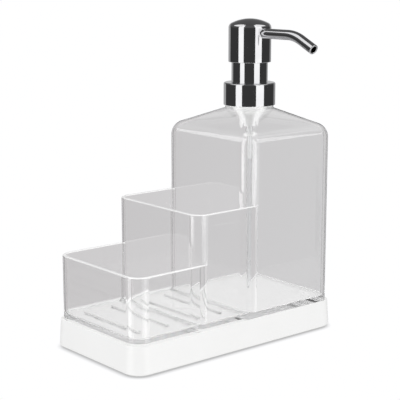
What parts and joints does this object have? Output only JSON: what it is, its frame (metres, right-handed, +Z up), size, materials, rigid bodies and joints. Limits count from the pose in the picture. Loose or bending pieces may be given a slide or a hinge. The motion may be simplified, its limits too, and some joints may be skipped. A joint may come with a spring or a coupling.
{
  "type": "soap pump caddy",
  "caption": "Soap pump caddy: a clear low bin, tall bin and soap bottle stand side by side on a white base, and a chromed push pump screws onto the bottle.",
  "frame": {"origin": "centre of the underside that stands on the counter", "axes": "+X runs along the base from the low bin to the bottle, the spout points to -Y, +Z is up"},
  "size_m": [0.16, 0.0983, 0.1944],
  "materials": {
    "white_base": "satin white moulded plastic",
    "soft_pad": "soft light grey foam rubber",
    "clear_plastic": "polished clear plastic",
    "chrome": "bright chromed plastic and tube",
    "white_plastic": "smooth white moulded plastic",
    "natural_plastic": "milky translucent plastic",
    "seal": "soft seal plastic",
    "steel": "bright stainless steel"
  },
  "bodies": {
    "caddy": {"base_shell": "white_base", "non_slip_pad": "soft_pad", "clear_body": "clear_plastic", "bottle_floor": "clear_plastic"},
    "pump_body": {"pump_housing": "white_plastic", "barrel_cap": "white_plastic", "guide_collar": "chrome", "neck_gasket": "seal", "dip_tube": "natural_plastic", "return_spring": "steel"},
    "closure": {"closure_shell": "chrome", "closure_insert": "white_plastic"},
    "plunger": {"pump_stem": "white_plastic", "piston_seal": "seal"},
    "head": {"head_shell": "chrome", "head_core": "white_plastic", "spout_tube": "chrome"},
    "inlet_valve": {"inlet_ball": "steel"},
    "outlet_valve": {"outlet_ball": "steel"}
  },
  "joints": [
    {"name": "closure_rise", "type": "slide", "parent": "caddy", "child": "pump_body", "axis": [0, 0, 1], "range_m": [0, 0.0043]},
    {"name": "closure_turn", "type": "hinge", "parent": "pump_body", "child": "closure", "pos_m": [0.042, 0, 0.148], "axis": [0, 0, 1], "range_deg": [0, 360]},
    {"name": "head_press", "type": "slide", "parent": "pump_body", "child": "plunger", "axis": [0, 0, -1], "range_m": [0, 0.012], "stiffness_N_per_m": 580, "springref_m": -0.01, "deforming": ["return_spring"]},
    {"name": "head_swivel", "type": "hinge", "parent": "plunger", "child": "head", "pos_m": [0.042, 0, 0.18], "axis": [0, 0, 1], "continuous": true},
    {"name": "inlet_ball_lift", "type": "slide", "parent": "pump_body", "child": "inlet_valve", "axis": [0, 0, 1], "range_m": [0, 0.001]},
    {"name": "outlet_ball_lift", "type": "slide", "parent": "plunger", "child": "outlet_valve", "axis": [0, 0, 1], "range_m": [0, 0.001]}
  ],
  "couplings": [
    {"joint": "closure_rise", "follows": "closure_turn", "m_per_rad": 0.00067322}
  ]
}
